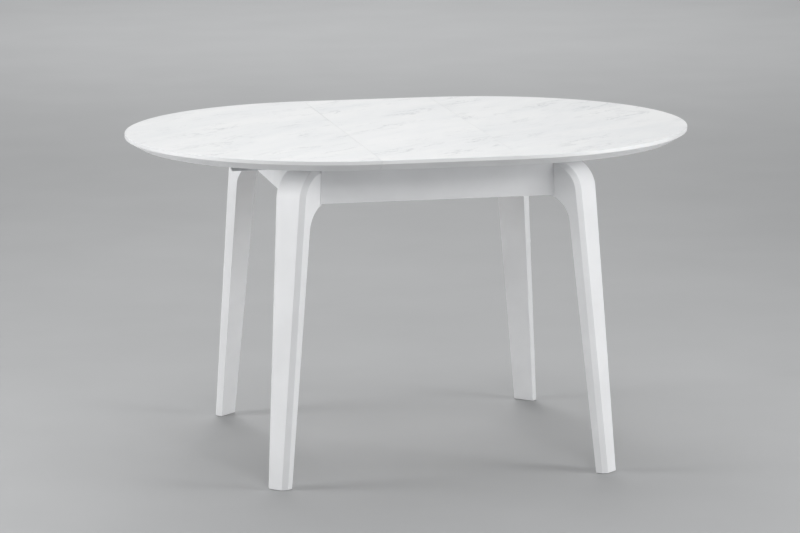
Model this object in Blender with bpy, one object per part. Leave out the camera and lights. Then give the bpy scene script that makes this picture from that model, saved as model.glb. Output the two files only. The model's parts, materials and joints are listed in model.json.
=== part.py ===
"""Round dining table with a centre leaf, standing extended with the leaf in place.

Frame: +Z up, origin on the floor under the middle of the top. +X runs along the pull-out
direction, -Y is the front. All sizes are in metres.
"""

from math import cos, pi, radians, sin, sqrt, tan

import bmesh
import bpy
from mathutils import Matrix, Vector

# --- Top: two half-discs and a straight leaf --------------------------------------------
TABLE_HEIGHT = 0.750
TOP_RADIUS = 0.500
LEAF_WIDTH = 0.312
TOP_THICKNESS = 0.026
EDGE_BAND = 0.0085
UNDERCUT_INSET = 0.030
ARRIS = 0.0012
SEAM_GAP = 0.0004
FIT_GAP = 0.0003
CUT_PAST = 0.010
HALF_DISC_STEPS = 56

# --- Base: legs set at 45 degrees, four aprons ------------------------------------------
BASE_TOP = 0.713
APRON_BOTTOM = 0.6335
APRON_THICKNESS = 0.020
APRON_FRONT_FACE = 0.349
APRON_SIDE_FACE = 0.3245
APRON_BLANK_REACH = 0.400

FOOT_X = 0.388
FOOT_Y = 0.412
FOOT_CLEARANCE = 0.001
LEG_SPLAY = 0.0977
LEG_DEPTH_FOOT = 0.0264
LEG_DEPTH_GAIN = 0.0130
LEG_WIDTH_FOOT = 0.0540
LEG_WIDTH_GAIN = 0.0410
LEG_CHAMFER = 0.0102
SHOULDER_RADIUS = 0.070
FILLET_RADIUS = 0.062
ARM_REACH = 0.165
ARC_STEPS = 10

BLOCK_THICKNESS = 0.034
BOLT_RADIUS = 0.004
BOLT_LENGTH = 0.078
BOLT_HEIGHTS = {"lower": 0.655, "upper": 0.690}
BOLT_FLANGE_RADIUS = 0.0085
BOLT_FLANGE_THICKNESS = 0.0016
HEX_RADIUS = 0.0072
HEX_HEIGHT = 0.0070
MERGE_OVERLAP = 0.0008
BLOCK_ABOVE_RAIL = 0.016
GLIDE_RADIUS = 0.009
GLIDE_THICKNESS = 0.0032

# --- Slides under the top ----------------------------------------------------------------
CROSS_RAIL_X = 0.170
CROSS_RAIL_WIDTH = 0.028
CROSS_RAIL_BOTTOM = 0.642
CROSS_RAIL_TOP = 0.688
TRACK_FAR = 0.175
TRACK_NEAR = 0.125
TRACK_HALF_LENGTH = 0.300
TRACK_HALF_WIDTH = 0.016
TRACK_WALL = 0.002
RUNNER_FOOT_HALF = 0.0137
RUNNER_FOOT_HEIGHT = 0.0060
RUNNER_WEB_HALF = 0.0040
RUNNER_FLANGE_HALF = 0.0125
RUNNER_FLANGE_THICKNESS = 0.0030
RUNNER_REACH = 0.440
SLOT_HALF = 0.0055
TRACK_SCREW_RADIUS = 0.0018
TRACK_SCREW_REACH = 0.016
RUNNER_SCREW_REACH = 0.012
SCREW_HEAD_ROOM = 0.0008
SCREW_ROOM = 0.0004
SEAT_SINK = 0.0006
SEAT_RISE = 0.0002
HOLE_END_ROOM = 0.001
RUNNER_START = 0.0015
RUNNER_SCREW_X = 0.400
RUNNER_SCREW_OFFSET = 0.0082

# --- Rack and pinion that keep both halves level with each other --------------------------
GEAR_MODULE = 0.002
PINION_TEETH = 18
PRESSURE_ANGLE = radians(20)
BACKLASH = 0.00018
GEAR_THICKNESS = 0.008
RACK_BACK = 0.031
RACK_OUTER_END = 0.260
RACK_INNER_END = 0.044
RACK_TOOTHLESS_LENGTH = 0.090
RACK_POST_LENGTH = 0.024
RACK_POST_INSET = 0.0006
TRAY_HALF_LENGTH = 0.190
TRAY_WALL = 0.002
AXLE_RADIUS = 0.004
AXLE_NUT_DEPTH = 0.0045
AXLE_COLLAR_THICKNESS = 0.003
RUNNING_GAP = 0.0004

SUPPORT_PLATE = (0.066, 0.040, 0.0025)
SUPPORT_PLATE_Y = 0.290
SUPPORT_OVERLAP = 0.026
LOCATOR = (0.200, 0.018, 0.024)
LOCATOR_GAP = 0.001

TOP_UNDERSIDE = TABLE_HEIGHT - TOP_THICKNESS
HANG_LEVEL = TOP_UNDERSIDE - FIT_GAP
TRACK_FLOOR = CROSS_RAIL_TOP + FIT_GAP
LEG_DIRECTION = Vector((1, 1, 0)).normalized()
LEG_SIDEWAYS = Vector((-1, 1, 0)).normalized()
FOOT = Vector((FOOT_X, FOOT_Y, 0))
CORNERS = {
    "front_left": (-1, -1),
    "front_right": (1, -1),
    "back_left": (-1, 1),
    "back_right": (1, 1),
}
SIDES = {"left": -1, "right": 1}


# --- Scene and materials -------------------------------------------------------------------
def clear_scene():
    for item in list(bpy.data.objects):
        bpy.data.objects.remove(item, do_unlink=True)


def new_collection(name):
    collection = bpy.data.collections.new(name)
    bpy.context.scene.collection.children.link(collection)
    return collection


def finish(name, color, roughness, metallic):
    material = bpy.data.materials.new(name)
    material.use_nodes = True
    shader = material.node_tree.nodes["Principled BSDF"]
    shader.inputs["Base Color"].default_value = (*color, 1.0)
    shader.inputs["Roughness"].default_value = roughness
    shader.inputs["Metallic"].default_value = metallic
    return material


# --- Mesh helpers ----------------------------------------------------------------------------
def face_outward(bm):
    bm.normal_update()
    bmesh.ops.recalc_face_normals(bm, faces=bm.faces)


def mesh_from(bm, name):
    face_outward(bm)
    mesh = bpy.data.meshes.new(name)
    bm.to_mesh(mesh)
    bm.free()
    return mesh


def place(name, bm, material, parent=None, origin=(0, 0, 0), smooth_angle=None):
    """Makes the finished node, with its origin at the given world point."""
    bmesh.ops.translate(bm, verts=bm.verts, vec=-Vector(origin))
    mesh = mesh_from(bm, name)
    if smooth_angle is not None:
        mesh.shade_smooth()
        mesh.set_sharp_from_angle(angle=smooth_angle)
    mesh.materials.append(material)
    node = bpy.data.objects.new(name, mesh)
    PARTS.objects.link(node)
    node.location = origin
    if parent is not None:
        node.parent = parent
        node.matrix_parent_inverse = Matrix.Translation(-parent.location)
    return node


def body_empty(name, location=(0, 0, 0)):
    empty = bpy.data.objects.new(name, None)
    PARTS.objects.link(empty)
    empty.location = location
    return empty


def cut(node, name, bm):
    """Takes the given shape away from a node with a live Boolean."""
    cutter = bpy.data.objects.new(name, mesh_from(bm, name))
    CUTTERS.objects.link(cutter)
    cutter.hide_render = True
    cutter.display_type = "WIRE"
    boolean = node.modifiers.new(name, "BOOLEAN")
    boolean.operation = "DIFFERENCE"
    boolean.solver = "EXACT"
    boolean.object = cutter


def box(low, high, bm=None):
    bm = bm or bmesh.new()
    low = Vector(low)
    high = Vector(high)
    size = Matrix.Diagonal((*(high - low), 1))
    bmesh.ops.create_cube(bm, size=1, matrix=Matrix.Translation((low + high) / 2) @ size)
    return bm


def rod(start, end, radius, end_radius=None, segments=24, bm=None):
    """A round bar, or a cone, between two points."""
    bm = bm or bmesh.new()
    start = Vector(start)
    end = Vector(end)
    along = end - start
    turn = along.to_track_quat("Z", "Y").to_matrix().to_4x4()
    bmesh.ops.create_cone(
        bm, cap_ends=True, segments=segments, radius1=radius,
        radius2=radius if end_radius is None else end_radius, depth=along.length,
        matrix=Matrix.Translation((start + end) / 2) @ turn,
    )
    return bm


def outline_solid(points, thickness):
    """A flat outline in the XY plane with half its thickness on each side of it."""
    curve = bpy.data.curves.new("outline", "CURVE")
    curve.dimensions = "2D"
    curve.fill_mode = "BOTH"
    curve.extrude = thickness / 2
    spline = curve.splines.new("POLY")
    spline.points.add(len(points) - 1)
    for control, (x, y) in zip(spline.points, points):
        control.co = (x, y, 0, 1)
    spline.use_cyclic_u = True
    drawn = bpy.data.objects.new("outline", curve)
    bpy.context.scene.collection.objects.link(drawn)
    graph = bpy.context.evaluated_depsgraph_get()
    mesh = bpy.data.meshes.new_from_object(drawn.evaluated_get(graph))
    bm = bmesh.new()
    bm.from_mesh(mesh)
    bpy.data.objects.remove(drawn)
    bpy.data.curves.remove(curve)
    bpy.data.meshes.remove(mesh)
    bmesh.ops.remove_doubles(bm, verts=bm.verts, dist=1e-6)
    for end in (thickness / 2, -thickness / 2):
        cap = [face for face in bm.faces if all(abs(v.co.z - end) < 1e-6 for v in face.verts)]
        bmesh.ops.dissolve_faces(bm, faces=cap)
    return bm


def section_along_x(points, start, end):
    """Extrudes a section, given as (y, z) points, from one x to another."""
    bm = outline_solid(points, end - start)
    for vert in bm.verts:
        y, z, x = vert.co
        vert.co = (x + (start + end) / 2, y, z)
    return bm


def mirrored(bm, sign_x, sign_y):
    """Moves a shape drawn for the +X +Y corner to the corner with these signs."""
    for vert in bm.verts:
        vert.co.x *= sign_x
        vert.co.y *= sign_y
    return bm


def merged(*shapes):
    """Boolean union of closed shapes that overlap, as one body."""
    objects = []
    for shape in shapes:
        item = bpy.data.objects.new("piece", mesh_from(shape, "piece"))
        bpy.context.scene.collection.objects.link(item)
        objects.append(item)
    for other in objects[1:]:
        union = objects[0].modifiers.new("union", "BOOLEAN")
        union.operation = "UNION"
        union.solver = "EXACT"
        union.object = other
    graph = bpy.context.evaluated_depsgraph_get()
    mesh = bpy.data.meshes.new_from_object(objects[0].evaluated_get(graph))
    bm = bmesh.new()
    bm.from_mesh(mesh)
    for item in objects:
        bpy.data.objects.remove(item)
    bpy.data.meshes.remove(mesh)
    return bm


# --- Top -----------------------------------------------------------------------------------
def edge_profile(reach):
    """The slab's edge as (distance out, height) points, from underside to top face."""
    points = [
        (reach - UNDERCUT_INSET, TOP_UNDERSIDE),
        (reach, TABLE_HEIGHT - EDGE_BAND),
    ]
    for step in range(3):
        angle = step * pi / 4
        points.append((
            reach - ARRIS + ARRIS * cos(angle),
            TABLE_HEIGHT - ARRIS + ARRIS * sin(angle),
        ))
    return points


def half_disc(side):
    """Turns the edge profile through half a circle and closes it along the seam."""
    bm = bmesh.new()
    centre_x = LEAF_WIDTH / 2 + SEAM_GAP
    profile = [(0, TOP_UNDERSIDE), *edge_profile(TOP_RADIUS - SEAM_GAP), (0, TABLE_HEIGHT)]
    verts = [bm.verts.new((0, -distance, height)) for distance, height in profile]
    edges = [bm.edges.new(pair) for pair in zip(verts, verts[1:])]
    bmesh.ops.spin(
        bm, geom=verts + edges, cent=(0, 0, 0), axis=(0, 0, 1), angle=pi,
        steps=HALF_DISC_STEPS,
    )
    bmesh.ops.remove_doubles(bm, verts=bm.verts, dist=1e-6)
    seam = [edge for edge in bm.edges if edge.is_boundary]
    bmesh.ops.holes_fill(bm, edges=seam)
    bmesh.ops.translate(bm, verts=bm.verts, vec=(centre_x, 0, 0))
    return mirrored(bm, side, 1)


def leaf_slab():
    right = edge_profile(TOP_RADIUS)
    left = [(-y, z) for y, z in reversed(right)]
    return section_along_x(right + left, -LEAF_WIDTH / 2, LEAF_WIDTH / 2)


# --- Legs ------------------------------------------------------------------------------------
def outer_line(height):
    return -LEG_SPLAY * height


def inner_line(height):
    return outer_line(height) - LEG_DEPTH_FOOT - LEG_DEPTH_GAIN * height


def half_width(height):
    return (LEG_WIDTH_FOOT + LEG_WIDTH_GAIN * height) / 2


def arc(centre, radius, start, end):
    """Points on an arc, with angles measured from +X towards +Y."""
    return [
        (
            centre[0] + radius * cos(start + (end - start) * step / ARC_STEPS),
            centre[1] + radius * sin(start + (end - start) * step / ARC_STEPS),
        )
        for step in range(ARC_STEPS + 1)
    ]


def leg_outline():
    """Side view of a leg as (distance out from the foot, height), and its chamfered points."""
    splay = LEG_SPLAY
    slope = sqrt(1 + splay * splay)
    lean = pi / 2 - Vector((1 / slope, splay / slope)).angle(Vector((0, 1)))
    shoulder_z = BASE_TOP - SHOULDER_RADIUS
    start_z = shoulder_z + SHOULDER_RADIUS * sin(lean)
    shoulder_x = outer_line(start_z) - SHOULDER_RADIUS * cos(lean)
    outer = [(outer_line(FOOT_CLEARANCE), FOOT_CLEARANCE)]
    outer += arc((shoulder_x, shoulder_z), SHOULDER_RADIUS, lean, pi / 2)

    inner_slope = LEG_SPLAY + LEG_DEPTH_GAIN
    inner_lean = Vector((0, 1)).angle(Vector((-inner_slope, 1)))
    fillet_z = APRON_BOTTOM - FILLET_RADIUS
    tangent_z = fillet_z + FILLET_RADIUS * sin(inner_lean)
    fillet_x = inner_line(tangent_z) - FILLET_RADIUS * cos(inner_lean)
    inner = arc((fillet_x, fillet_z), FILLET_RADIUS, pi / 2, inner_lean)
    inner.append((inner_line(FOOT_CLEARANCE), FOOT_CLEARANCE))
    outer.append((-ARM_REACH, BASE_TOP))
    return outer + [(-ARM_REACH, APRON_BOTTOM)] + inner, outer


def leg_shape():
    """The plank cut to its side view, tapered to the foot, with chamfered outer corners."""
    outline, chamfered = leg_outline()
    bm = outline_solid(outline, 2)
    outer_points = {(round(x, 5), round(z, 5)) for x, z in chamfered}

    def is_outer(vert):
        return (round(vert.co.x, 5), round(vert.co.y, 5)) in outer_points

    edges = [
        edge for edge in bm.edges
        if all(is_outer(vert) for vert in edge.verts)
        and edge.verts[0].co.z * edge.verts[1].co.z > 0
    ]
    for vert in bm.verts:
        out, height, side = vert.co
        across = half_width(height) * (1 if side > 0 else -1)
        vert.co = FOOT + LEG_DIRECTION * out + LEG_SIDEWAYS * across + Vector((0, 0, height))
    face_outward(bm)
    bmesh.ops.bevel(
        bm, geom=edges, offset=LEG_CHAMFER, offset_type="OFFSET", segments=1, profile=0.5,
        affect="EDGES",
    )
    return bm


def cheek_plane(side, gap):
    """A point on, and the normal of, one of the leg's flat side faces in the +X +Y corner."""
    lean = LEG_WIDTH_GAIN / 2
    normal = (LEG_SIDEWAYS * side - Vector((0, 0, lean))).normalized()
    point = FOOT + LEG_SIDEWAYS * side * half_width(0) + normal * gap
    return point, normal


def on_diagonal(out, height):
    return FOOT + LEG_DIRECTION * out + Vector((0, 0, height))


# --- Aprons and corner blocks ---------------------------------------------------------------
def apron_board(along_x):
    """A straight board whose two ends are cut to lie against the legs' side faces."""
    face = APRON_FRONT_FACE if along_x else APRON_SIDE_FACE
    reach = APRON_BLANK_REACH
    if along_x:
        bm = box((-reach, face - APRON_THICKNESS, APRON_BOTTOM), (reach, face, BASE_TOP))
    else:
        bm = box((face - APRON_THICKNESS, -reach, APRON_BOTTOM), (face, reach, BASE_TOP))
    point, normal = cheek_plane(1 if along_x else -1, FIT_GAP)
    for mirror in (1, -1):
        flip = Vector((mirror, 1, 1)) if along_x else Vector((1, mirror, 1))
        geometry = bm.verts[:] + bm.edges[:] + bm.faces[:]
        result = bmesh.ops.bisect_plane(
            bm, geom=geometry, plane_co=point * flip, plane_no=normal * flip,
            clear_inner=True,
        )
        rim = [item for item in result["geom_cut"] if isinstance(item, bmesh.types.BMEdge)]
        bmesh.ops.holes_fill(bm, edges=rim)
    return bm


def block_shape():
    """A corner block across the +X +Y corner, behind the end of the leg's arm."""
    outer_sum = (on_diagonal(-ARM_REACH, 0).x + on_diagonal(-ARM_REACH, 0).y) - FIT_GAP * 1.5
    inner_sum = outer_sum - BLOCK_THICKNESS * sqrt(2)
    wall_y = APRON_FRONT_FACE - APRON_THICKNESS - FIT_GAP
    wall_x = APRON_SIDE_FACE - APRON_THICKNESS - FIT_GAP
    points = [
        (outer_sum - wall_y, wall_y),
        (inner_sum - wall_y, wall_y),
        (wall_x, inner_sum - wall_x),
        (wall_x, outer_sum - wall_x),
    ]
    height = CROSS_RAIL_TOP + BLOCK_ABOVE_RAIL - CROSS_RAIL_BOTTOM
    bm = outline_solid(points, height)
    bmesh.ops.translate(bm, verts=bm.verts, vec=(0, 0, CROSS_RAIL_BOTTOM + height / 2))
    return bm


def bolt_shape(height):
    """Flanged hex bolt from the block's inner face through the block into the leg's arm."""
    head_out = -ARM_REACH - BLOCK_THICKNESS - FIT_GAP * 2.5
    inside_flange = on_diagonal(head_out - MERGE_OVERLAP, height)
    flange = rod(
        on_diagonal(head_out - BOLT_FLANGE_THICKNESS, height), on_diagonal(head_out, height),
        BOLT_FLANGE_RADIUS,
    )
    head = rod(
        on_diagonal(head_out - HEX_HEIGHT, height), inside_flange, HEX_RADIUS, segments=6
    )
    shank = rod(inside_flange, on_diagonal(head_out + BOLT_LENGTH, height), BOLT_RADIUS)
    return merged(flange, head, shank)


def bolt_hole(height):
    start = -ARM_REACH - BLOCK_THICKNESS - CUT_PAST
    end = -ARM_REACH - BLOCK_THICKNESS + BOLT_LENGTH + 2 * HOLE_END_ROOM
    return rod(on_diagonal(start, height), on_diagonal(end, height), BOLT_RADIUS + FIT_GAP)


def build_corner(name, signs):
    flip = Vector((*signs, 1))
    foot_middle = on_diagonal((outer_line(0) + inner_line(0)) / 2, 0)
    leg = place(
        f"leg_{name}", mirrored(leg_shape(), *signs), LACQUER, origin=FOOT * flip,
        smooth_angle=radians(20),
    )
    recess = rod(
        foot_middle - Vector((0, 0, CUT_PAST)),
        foot_middle + Vector((0, 0, GLIDE_THICKNESS + FIT_GAP)), GLIDE_RADIUS + FIT_GAP,
    )
    cut(leg, f"glide_recess_{name}", mirrored(recess, *signs))
    glide = rod(foot_middle, foot_middle + Vector((0, 0, GLIDE_THICKNESS)), GLIDE_RADIUS)
    place(f"foot_glide_{name}", mirrored(glide, *signs), FELT, smooth_angle=radians(30))

    block = place(f"corner_block_{name}", mirrored(block_shape(), *signs), BEECH)
    for level, height in BOLT_HEIGHTS.items():
        cut(leg, f"bolt_hole_leg_{level}_{name}", mirrored(bolt_hole(height), *signs))
        cut(block, f"bolt_hole_block_{level}_{name}", mirrored(bolt_hole(height), *signs))
        place(
            f"corner_bolt_{level}_{name}", mirrored(bolt_shape(height), *signs), ZINC,
            smooth_angle=radians(30),
        )


def build_aprons():
    for name, side in (("front", -1), ("back", 1)):
        place(f"apron_{name}", mirrored(apron_board(True), 1, side), LACQUER)
    for name, side in SIDES.items():
        apron = place(f"apron_{name}", mirrored(apron_board(False), side, 1), LACQUER)
        for lane, y in runner_lanes(side).items():
            inner = side * (APRON_SIDE_FACE - APRON_THICKNESS - CUT_PAST)
            outer = side * (APRON_SIDE_FACE + CUT_PAST)
            slot = box(
                (min(inner, outer), y - TRACK_HALF_WIDTH, TRACK_FLOOR - FIT_GAP),
                (max(inner, outer), y + TRACK_HALF_WIDTH, BASE_TOP + CUT_PAST),
            )
            cut(apron, f"runner_notch_{name}_{lane}", slot)


# --- Slides ----------------------------------------------------------------------------------
def runner_lanes(side):
    """Where the runners of one half lie across the table; the two halves' lanes interleave."""
    if side < 0:
        return {"front": -TRACK_FAR, "back": TRACK_NEAR}
    return {"front": -TRACK_NEAR, "back": TRACK_FAR}


def track_section(y):
    floor = TRACK_FLOOR
    inside = floor + TRACK_WALL
    lip = inside + RUNNER_FOOT_HEIGHT + 2 * FIT_GAP
    top = lip + TRACK_WALL
    wall = TRACK_HALF_WIDTH
    hollow = wall - TRACK_WALL
    right = [(wall, floor), (wall, top), (SLOT_HALF, top), (SLOT_HALF, lip), (hollow, lip)]
    right.append((hollow, inside))
    left = [(-across, z) for across, z in reversed(right)]
    return [(y + across, z) for across, z in right + left]


def runner_section(y):
    bottom = TRACK_FLOOR + TRACK_WALL + FIT_GAP
    foot = bottom + RUNNER_FOOT_HEIGHT
    flange = HANG_LEVEL - RUNNER_FLANGE_THICKNESS
    right = [
        (RUNNER_FOOT_HALF, bottom), (RUNNER_FOOT_HALF, foot), (RUNNER_WEB_HALF, foot),
        (RUNNER_WEB_HALF, flange), (RUNNER_FLANGE_HALF, flange),
        (RUNNER_FLANGE_HALF, HANG_LEVEL),
    ]
    left = [(-across, z) for across, z in reversed(right)]
    return [(y + across, z) for across, z in right + left]


def screw_shape(x, y, head_z, tip_z, head_height):
    """A screw with a cone head whose wide face is at head_z, pointing at tip_z."""
    way = 1 if tip_z > head_z else -1
    neck = head_z + way * head_height
    head = rod((x, y, head_z), (x, y, neck), 2 * TRACK_SCREW_RADIUS, TRACK_SCREW_RADIUS)
    shank = rod((x, y, neck - way * MERGE_OVERLAP / 2), (x, y, tip_z), TRACK_SCREW_RADIUS, segments=16)
    return merged(head, shank)


def build_track(side_name, lane, y, rails):
    name = f"{side_name}_{lane}"
    section = track_section(y)
    track = place(
        f"track_{name}", section_along_x(section, -TRACK_HALF_LENGTH, TRACK_HALF_LENGTH),
        ALUMINIUM,
    )
    for number, x in enumerate((-CROSS_RAIL_X, CROSS_RAIL_X), start=1):
        head_z = TRACK_FLOOR + TRACK_WALL - FIT_GAP / 2
        seat_top = TRACK_FLOOR + TRACK_WALL
        seat = rod(
            (x, y, seat_top + SEAT_RISE), (x, y, TRACK_FLOOR - SEAT_SINK),
            2 * TRACK_SCREW_RADIUS + SCREW_HEAD_ROOM, TRACK_SCREW_RADIUS + FIT_GAP,
        )
        cut(track, f"screw_seat_{name}_{number}", seat)
        tip_z = TRACK_FLOOR - TRACK_SCREW_REACH
        pilot = rod(
            (x, y, TRACK_FLOOR), (x, y, tip_z - HOLE_END_ROOM),
            TRACK_SCREW_RADIUS + SCREW_ROOM,
        )
        cut(rails[x], f"screw_pilot_{name}_{number}", pilot)
        place(
            f"track_screw_{name}_{number}",
            screw_shape(x, y, head_z, tip_z, TRACK_WALL), ZINC, smooth_angle=radians(30),
        )


def build_runner(side_name, side, lane, y, parent, half):
    name = f"{side_name}_{lane}"
    ends = sorted((side * RUNNER_START, side * RUNNER_REACH))
    runner = place(
        f"runner_{name}", section_along_x(runner_section(y), *ends), ALUMINIUM, parent,
    )
    screw_x = side * RUNNER_SCREW_X
    screw_y = y - RUNNER_SCREW_OFFSET if y > 0 else y + RUNNER_SCREW_OFFSET
    head_z = HANG_LEVEL - RUNNER_FLANGE_THICKNESS + FIT_GAP
    tip_z = TOP_UNDERSIDE + RUNNER_SCREW_REACH
    seat = rod(
        (screw_x, screw_y, head_z - SEAT_SINK), (screw_x, screw_y, TOP_UNDERSIDE + SEAT_RISE),
        2 * TRACK_SCREW_RADIUS + SCREW_HEAD_ROOM, TRACK_SCREW_RADIUS + FIT_GAP,
    )
    cut(runner, f"runner_screw_seat_{name}", seat)
    pilot = rod(
        (screw_x, screw_y, TOP_UNDERSIDE - HOLE_END_ROOM),
        (screw_x, screw_y, tip_z + HOLE_END_ROOM), TRACK_SCREW_RADIUS + SCREW_ROOM,
    )
    cut(half, f"runner_screw_pilot_{name}", pilot)
    place(
        f"runner_screw_{name}",
        screw_shape(screw_x, screw_y, head_z, tip_z, RUNNER_FLANGE_THICKNESS - FIT_GAP),
        ZINC, parent, smooth_angle=radians(30),
    )


def build_cross_rails():
    rails = {}
    reach = APRON_FRONT_FACE - APRON_THICKNESS - FIT_GAP
    for name, side in SIDES.items():
        x = side * CROSS_RAIL_X
        rails[x] = place(
            f"cross_rail_{name}",
            box((x - CROSS_RAIL_WIDTH / 2, -reach, CROSS_RAIL_BOTTOM),
                (x + CROSS_RAIL_WIDTH / 2, reach, CROSS_RAIL_TOP)),
            BEECH,
        )
    return rails


# --- Rack and pinion ---------------------------------------------------------------------------
def involute(angle):
    return tan(angle) - angle


def pinion_outline():
    """Spur gear with involute flanks; a tooth is centred on +X."""
    pitch = GEAR_MODULE * PINION_TEETH / 2
    base = pitch * cos(PRESSURE_ANGLE)
    root = pitch - 1.25 * GEAR_MODULE
    tip = pitch + GEAR_MODULE
    half_tooth = pi / (2 * PINION_TEETH) - BACKLASH / pitch
    flank = [(root, half_tooth + involute(PRESSURE_ANGLE))]
    for step in range(5):
        radius = base + (tip - base) * step / 4
        pressure = Vector((base, sqrt(max(radius * radius - base * base, 0)))).angle(
            Vector((1, 0))
        )
        flank.append((radius, half_tooth + involute(PRESSURE_ANGLE) - involute(pressure)))
    points = []
    for tooth in range(PINION_TEETH):
        middle = 2 * pi * tooth / PINION_TEETH
        polar = [(radius, middle - half) for radius, half in flank]
        polar += [(radius, middle + half) for radius, half in reversed(flank)]
        points += [(radius * cos(angle), radius * sin(angle)) for radius, angle in polar]
    return points


def rack_outline(side):
    """Toothed bar seen from above, teeth towards the pinion, a tooth centred on x = 0."""
    pitch_line = GEAR_MODULE * PINION_TEETH / 2
    spacing = pi * GEAR_MODULE
    tip_y = pitch_line - GEAR_MODULE
    root_y = pitch_line + 1.25 * GEAR_MODULE
    half_pitch = spacing / 4 - BACKLASH
    half_tip = half_pitch - GEAR_MODULE * tan(PRESSURE_ANGLE)
    half_root = half_pitch + 1.25 * GEAR_MODULE * tan(PRESSURE_ANGLE)
    first = -int((RACK_OUTER_END - RACK_TOOTHLESS_LENGTH) / spacing)
    last = int(RACK_INNER_END / spacing - 0.5)
    points = [(RACK_INNER_END, RACK_BACK), (-RACK_OUTER_END, RACK_BACK)]
    points.append((-RACK_OUTER_END, root_y))
    for tooth in range(first, last + 1):
        x = tooth * spacing
        points += [
            (x - half_root, root_y), (x - half_tip, tip_y),
            (x + half_tip, tip_y), (x + half_root, root_y),
        ]
    points.append((RACK_INNER_END, root_y))
    return [(-side * x, -side * y) for x, y in points]


def build_gear(parents):
    floor = TRACK_FLOOR + TRAY_WALL + RUNNING_GAP
    middle = floor + GEAR_THICKNESS / 2
    pinion = outline_solid(pinion_outline(), GEAR_THICKNESS)
    bmesh.ops.translate(pinion, verts=pinion.verts, vec=(0, 0, middle))
    wheel = place("pinion", pinion, NYLON, parents["pinion"], smooth_angle=radians(30))
    bore = rod((0, 0, floor - CUT_PAST), (0, 0, floor + 2 * CUT_PAST), AXLE_RADIUS + RUNNING_GAP)
    cut(wheel, "pinion_bore", bore)

    for name, side in SIDES.items():
        bar = outline_solid(rack_outline(side), GEAR_THICKNESS)
        bmesh.ops.translate(bar, verts=bar.verts, vec=(0, 0, middle))
        post_front = GEAR_MODULE * PINION_TEETH / 2 + 1.25 * GEAR_MODULE + RACK_POST_INSET
        post_end = RACK_OUTER_END - RACK_POST_INSET
        xs = sorted((side * post_end, side * (post_end - RACK_POST_LENGTH)))
        ys = sorted((-side * post_front, -side * (RACK_BACK - RACK_POST_INSET)))
        post = box((xs[0], ys[0], floor + GEAR_THICKNESS / 2), (xs[1], ys[1], HANG_LEVEL))
        place(f"rack_{name}", merged(bar, post), NYLON, parents[name])

    inner = RACK_BACK + RUNNING_GAP
    outer = inner + TRAY_WALL
    top = floor + GEAR_THICKNESS
    right = [(outer, TRACK_FLOOR), (outer, top), (inner, top), (inner, TRACK_FLOOR + TRAY_WALL)]
    section = right + [(-y, z) for y, z in reversed(right)]
    tray = place(
        "gear_tray", section_along_x(section, -TRAY_HALF_LENGTH, TRAY_HALF_LENGTH), ZINC
    )
    hole = rod((0, 0, TRACK_FLOOR - CUT_PAST), (0, 0, floor), AXLE_RADIUS + FIT_GAP)
    cut(tray, "axle_hole", hole)
    collar_z = floor + GEAR_THICKNESS + RUNNING_GAP
    axle = merged(
        rod((0, 0, TRACK_FLOOR - AXLE_RADIUS), (0, 0, collar_z + HOLE_END_ROOM), AXLE_RADIUS),
        rod((0, 0, collar_z), (0, 0, collar_z + AXLE_COLLAR_THICKNESS), 2 * AXLE_RADIUS),
        rod(
            (0, 0, TRACK_FLOOR - AXLE_NUT_DEPTH), (0, 0, TRACK_FLOOR - FIT_GAP),
            HEX_RADIUS, segments=6,
        ),
    )
    place("pinion_axle", axle, ZINC, smooth_angle=radians(30))


# --- Leaf hardware ------------------------------------------------------------------------------
def build_leaf_hardware(parents):
    length, width, thickness = SUPPORT_PLATE
    for side_name, side in SIDES.items():
        inner = LEAF_WIDTH / 2 - SUPPORT_OVERLAP
        xs = sorted((side * inner, side * (inner + length)))
        for lane, way in (("front", -1), ("back", 1)):
            y = way * SUPPORT_PLATE_Y
            plate = box(
                (xs[0], y - width / 2, HANG_LEVEL - thickness),
                (xs[1], y + width / 2, HANG_LEVEL),
            )
            place(f"support_plate_{side_name}_{lane}", plate, ZINC, parents[side_name])
    long_x, deep_y, tall_z = LOCATOR
    outer_y = APRON_FRONT_FACE - APRON_THICKNESS - LOCATOR_GAP
    for lane, way in (("front", -1), ("back", 1)):
        ys = sorted((way * outer_y, way * (outer_y - deep_y)))
        block = box((-long_x / 2, ys[0], HANG_LEVEL - tall_z), (long_x / 2, ys[1], HANG_LEVEL))
        place(f"leaf_locator_{lane}", block, BEECH, parents["leaf"])


# --- The table ------------------------------------------------------------------------------------
def build_table():
    parents = {
        "left": body_empty("half_left_slide", (-LEAF_WIDTH / 2, 0, TOP_UNDERSIDE)),
        "right": body_empty("half_right_slide", (LEAF_WIDTH / 2, 0, TOP_UNDERSIDE)),
        "leaf": body_empty("leaf_lift", (0, 0, TOP_UNDERSIDE)),
        "pinion": body_empty("pinion_spin", (0, 0, TRACK_FLOOR)),
    }
    place("top_leaf", leaf_slab(), MARBLE, parents["leaf"])
    for name, signs in CORNERS.items():
        build_corner(name, signs)
    build_aprons()
    rails = build_cross_rails()
    for side_name, side in SIDES.items():
        half = place(
            f"top_half_{side_name}", half_disc(side), MARBLE, parents[side_name],
            smooth_angle=radians(30),
        )
        for lane, y in runner_lanes(side).items():
            build_track(side_name, lane, y, rails)
            build_runner(side_name, side, lane, y, parents[side_name], half)
    build_gear(parents)
    build_leaf_hardware(parents)


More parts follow.
